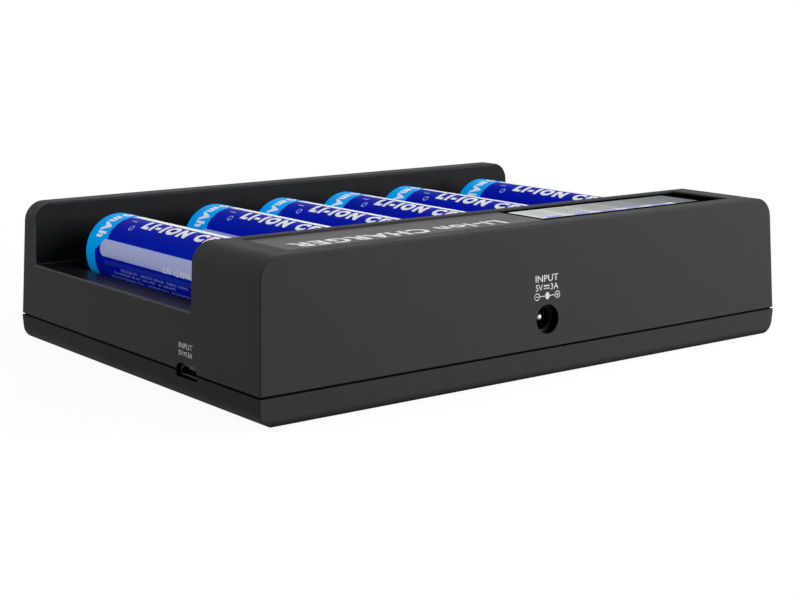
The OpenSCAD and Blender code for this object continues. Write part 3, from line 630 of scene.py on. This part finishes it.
def panel_prints(black, dark, pale_line, blue, white):
    """The black frame of the display, its faint segments with a row of charge
    bars, and the words beside it"""
    lens_lo, lens_hi = box_mm("display_lens")
    (x0, x1), (y0, y1) = WINDOW_X, WINDOW_Y
    margin = 0.1
    left, front, rear = lens_lo.x + margin, lens_lo.y + margin, lens_hi.y - margin
    right = x1 + 1.3
    border = Print("display_border", [black])
    for a0, a1, b0, b1 in ((left, right, front, y0), (left, right, y1, rear),
                           (left, x0, y0, y1), (x1, right, y0, y1)):
        border.bar((a0 + a1) / 2, (b0 + b1) / 2, a1 - a0, b1 - b0)
    border.lay(on_top(0, 0, lens_hi.z))

    p = Print("display_segments", [dark, pale_line, blue])
    columns = 6
    column = (x1 - x0) / columns
    near_edge = (y1 - y0) / 2 - 1.0
    p.bar(column * 0.45, near_edge, x1 - x0 - column * 0.9, 2.0, 1)
    for i in range(columns):
        cx = (i - (columns - 1) / 2) * column
        p.letters("8.88", cx, 2.3, 5.6, 3.0, -0.03)
        p.letters("8888", cx, -3.9, 6.2, 2.2, -0.03)
        for row in (-0.3, -1.5):
            p.bar(cx, row, 6.4, 0.35)
        if i:
            p.bar(cx, near_edge, 5.0, 1.5, 2, OVER)
    p.lay(on_top((x0 + x1) / 2, (y0 + y1) / 2, lens_hi.z))

    words = Print("panel_words", [white])
    words.letters("Li-ion CHARGER", 0, 0, 59, 5.6, 0.04, apart=1.15)
    words.lay(on_top(33, 43.5, lens_hi.z))


# ---- Wound springs

def tube(name, path, material):
    """Round wire along a path in mm"""
    mesh = bmesh.new()
    rows = []
    side = Vector((0, 0, 1))
    for i, point in enumerate(path):
        along = (path[min(i + 1, len(path) - 1)] - path[max(i - 1, 0)]).normalized()
        side = (side - along * side.dot(along)).normalized()
        other = along.cross(side)
        turns = [2 * math.pi * k / WIRE_SIDES for k in range(WIRE_SIDES)]
        rows.append([mesh.verts.new((point + WIRE_R * (math.cos(a) * side
                                                       + math.sin(a) * other)) * MM)
                     for a in turns])
    for a, b in zip(rows, rows[1:]):
        for k in range(WIRE_SIDES):
            n = (k + 1) % WIRE_SIDES
            mesh.faces.new((a[k], a[n], b[n], b[k]))
    mesh.faces.new(reversed(rows[0]))
    mesh.faces.new(rows[-1])
    bmesh.ops.recalc_face_normals(mesh, faces=mesh.faces[:])
    for face in mesh.faces:
        face.smooth = True
    return object_from(mesh, name, [material])


def spring(bay, material):
    """Wound spring between a slider's hook and the casing's anchor, with a flat
    eye at each end, in place of the plain solid"""
    lo, hi = box_mm("spring_%d" % bay)
    x, z = (lo.x + hi.x) / 2, (lo.z + hi.z) / 2
    hook, anchor = lo.y + COIL_R + WIRE_R, hi.y - COIL_R - WIRE_R
    turns = COILS * COIL_STEPS

    def eye(y, steps):
        for i in steps:
            a = math.radians(EYE_TURN * i / COIL_STEPS)
            yield Vector((x + COIL_R * math.cos(a), y + COIL_R * math.sin(a), z))

    path = list(eye(hook, range(-COIL_STEPS, 1)))
    for i in range(turns + 1):
        a = 2 * math.pi * i / COIL_STEPS
        path.append(Vector((x + COIL_R * math.cos(a),
                            hook + LEAD + (anchor - hook - 2 * LEAD) * i / turns,
                            z + COIL_R * math.sin(a))))
    path += eye(anchor, range(COIL_STEPS + 1))
    piece = tube("spring_wire_%d" % bay, path, material)
    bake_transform(piece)
    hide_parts("spring_%d" % bay)


# ---- Stage

def backlit(tree):
    """1 where the camera, a mirror or glass looks, and 1 where the camera looks"""
    rays = add_node(tree, "ShaderNodeLightPath").outputs
    seen = rays["Is Camera Ray"]
    for ray in ("Is Glossy Ray", "Is Transmission Ray"):
        seen = add_node(tree, "ShaderNodeMath", {0: seen, 1: rays[ray]},
                        operation="MAXIMUM").outputs[0]
    return seen, rays["Is Camera Ray"]


def bare_tree(holder):
    """The node tree of a world or material, emptied"""
    holder.use_nodes = True
    holder.node_tree.nodes.clear()
    return holder.node_tree


def studio_world():
    """Soft light from all round, with white behind the part"""
    world = bpy.data.worlds.new("studio")
    tree = bare_tree(world)
    soft = add_node(tree, "ShaderNodeBackground", {"Color": WHITE, "Strength": AMBIENT})
    white = add_node(tree, "ShaderNodeBackground", {"Color": WHITE})
    light = add_node(tree, "ShaderNodeMixShader",
                     {0: backlit(tree)[0], 1: soft.outputs[0], 2: white.outputs[0]})
    add_node(tree, "ShaderNodeOutputWorld", {"Surface": light.outputs[0]})
    return world


def floor_material():
    """White floor that keeps the part's shadow, matt and partly glowing near
    the part and plain white further away"""
    material = bpy.data.materials.new("floor")
    tree = bare_tree(material)
    seen, camera_ray = backlit(tree)
    tone = add_node(tree, "ShaderNodeMapRange",
                    {"Value": camera_ray, "To Min": FLOOR_BOUNCE, "To Max": FLOOR_SEEN})
    matt = add_node(tree, "ShaderNodeBsdfDiffuse", {"Color": tone.outputs[0]})
    glow = add_node(tree, "ShaderNodeEmission")
    place = add_node(tree, "ShaderNodeTexCoord").outputs["Object"]
    away = add_node(tree, "ShaderNodeVectorMath", {0: place},
                    operation="LENGTH").outputs["Value"]
    share = add_node(tree, "ShaderNodeMapRange",
                     {"Value": away, "From Min": GLOW_START, "From Max": GLOW_FULL,
                      "To Min": GLOW_NEAR, "To Max": 1.0})
    part = add_node(tree, "ShaderNodeMath", {0: seen, 1: share.outputs[0]},
                    operation="MULTIPLY")
    mixed = add_node(tree, "ShaderNodeMixShader",
                     {0: part.outputs[0], 1: matt.outputs[0], 2: glow.outputs[0]})
    add_node(tree, "ShaderNodeOutputMaterial", {"Surface": mixed.outputs[0]})
    return material


def stage():
    """World, floor and lamps"""
    scene = bpy.context.scene
    scene.view_settings.view_transform = "Standard"
    scene.world = studio_world()

    mesh = bmesh.new()
    bmesh.ops.create_grid(mesh, x_segments=1, y_segments=1, size=FLOOR_HALF)
    object_from(mesh, "floor", [floor_material()])

    for name, place, size, power in LAMPS:
        light = bpy.data.lights.new(name, "AREA")
        light.shape = "SQUARE"
        light.size = size
        light.energy = power
        lamp = object_of(name, light)
        lamp.location = place
        lamp.rotation_euler = (-Vector(place)).to_track_quat("-Z", "Y").to_euler()


def camera():
    """The photograph's camera"""
    data = bpy.data.cameras.new("camera")
    data.sensor_fit = "HORIZONTAL"
    data.sensor_width = SENSOR
    data.lens = LENS
    data.clip_start, data.clip_end = 0.01, 20
    back = Vector((math.sin(AZIMUTH) * math.cos(ELEVATION),
                   -math.cos(AZIMUTH) * math.cos(ELEVATION), math.sin(ELEVATION)))
    holder = object_of("camera", data)
    holder.location = (Vector(TARGET) + back * DISTANCE) * MM
    holder.rotation_euler = (-back).to_track_quat("-Z", "Y").to_euler()
    bpy.context.scene.camera = holder


# ---- Dressing

def dress():
    """Gives every node its material, and returns the materials by slot"""
    by_slot = {
        "shell_plastic": shell_material(),
        "slider_plastic": slider_material(),
        "lens": lens_material(),
        "lcd": pale("lcd", (150, 156, 148), 0.3),
        "diffuser": pale("diffuser", (235, 236, 232)),
        "circuit_board": board("circuit_board"),
        "flat_cable": pale("flat_cable", (225, 224, 216)),
        "chip": resin("chip", 32, 0.55),
        "inductor": resin("inductor", 70, 0.6, 0.35),
        "capacitor": metal("capacitor", (196, 198, 202), 0.35, (1, 1, 8)),
        "socket_plastic": resin("socket_plastic", 12, 0.45),
        "nickel": metal("nickel", (190, 187, 180), 0.34),
        "brass": metal("brass", (214, 178, 110), 0.28),
        "spring_steel": metal("spring_steel", (186, 186, 190), 0.3),
        "screw_steel": metal("screw_steel", (176, 176, 180), 0.35),
        "foot_rubber": resin("foot_rubber", 22, 0.8),
    }
    # painted shade: a darker copy of nickel for the USB socket's shell, down in its mouth
    dull = metal("painted_shade_nickel", (66, 65, 64), 0.4)
    for part in frame["record"]["subparts"]:
        node, slot = part["node"], part["material_slot"]
        if slot == "cell_sleeve":
            material = sleeve_material(int(node[-1]))
        else:
            material = dull if node == "usb_shell" else by_slot[slot]
        nodes[node].data.materials.clear()
        nodes[node].data.materials.append(material)
    return by_slot


materials = dress()
casing_prints(ink("print_white", (188, 188, 188)))
sleeve_inks = [ink("sleeve_cyan", (0, 163, 244), 0.22, SLEEVE_GLOSS),
               ink("sleeve_white", (226, 229, 236), 0.3, SLEEVE_GLOSS),
               ink("sleeve_lavender", (170, 174, 217), 0.22, SLEEVE_GLOSS),
               ink("sleeve_sky", (146, 168, 236), 0.22, SLEEVE_GLOSS),
               ink("sleeve_line", (32, 48, 158), 0.22, SLEEVE_GLOSS),
               ink("sleeve_small_print", (142, 158, 228), 0.22, SLEEVE_GLOSS)]
for bay in BAYS:
    cell_print(bay, sleeve_inks)
    spring(bay, materials["spring_steel"])
panel_prints(ink("display_black", (5, 5, 6), 0.5, 0.0),
             ink("segment", (100, 102, 102), 0.4),
             ink("display_pale", (190, 193, 206), 0.4),
             ink("display_blue", (104, 117, 206), 0.4),
             ink("panel_white", (205, 205, 205), 0.4))
stage()
camera()
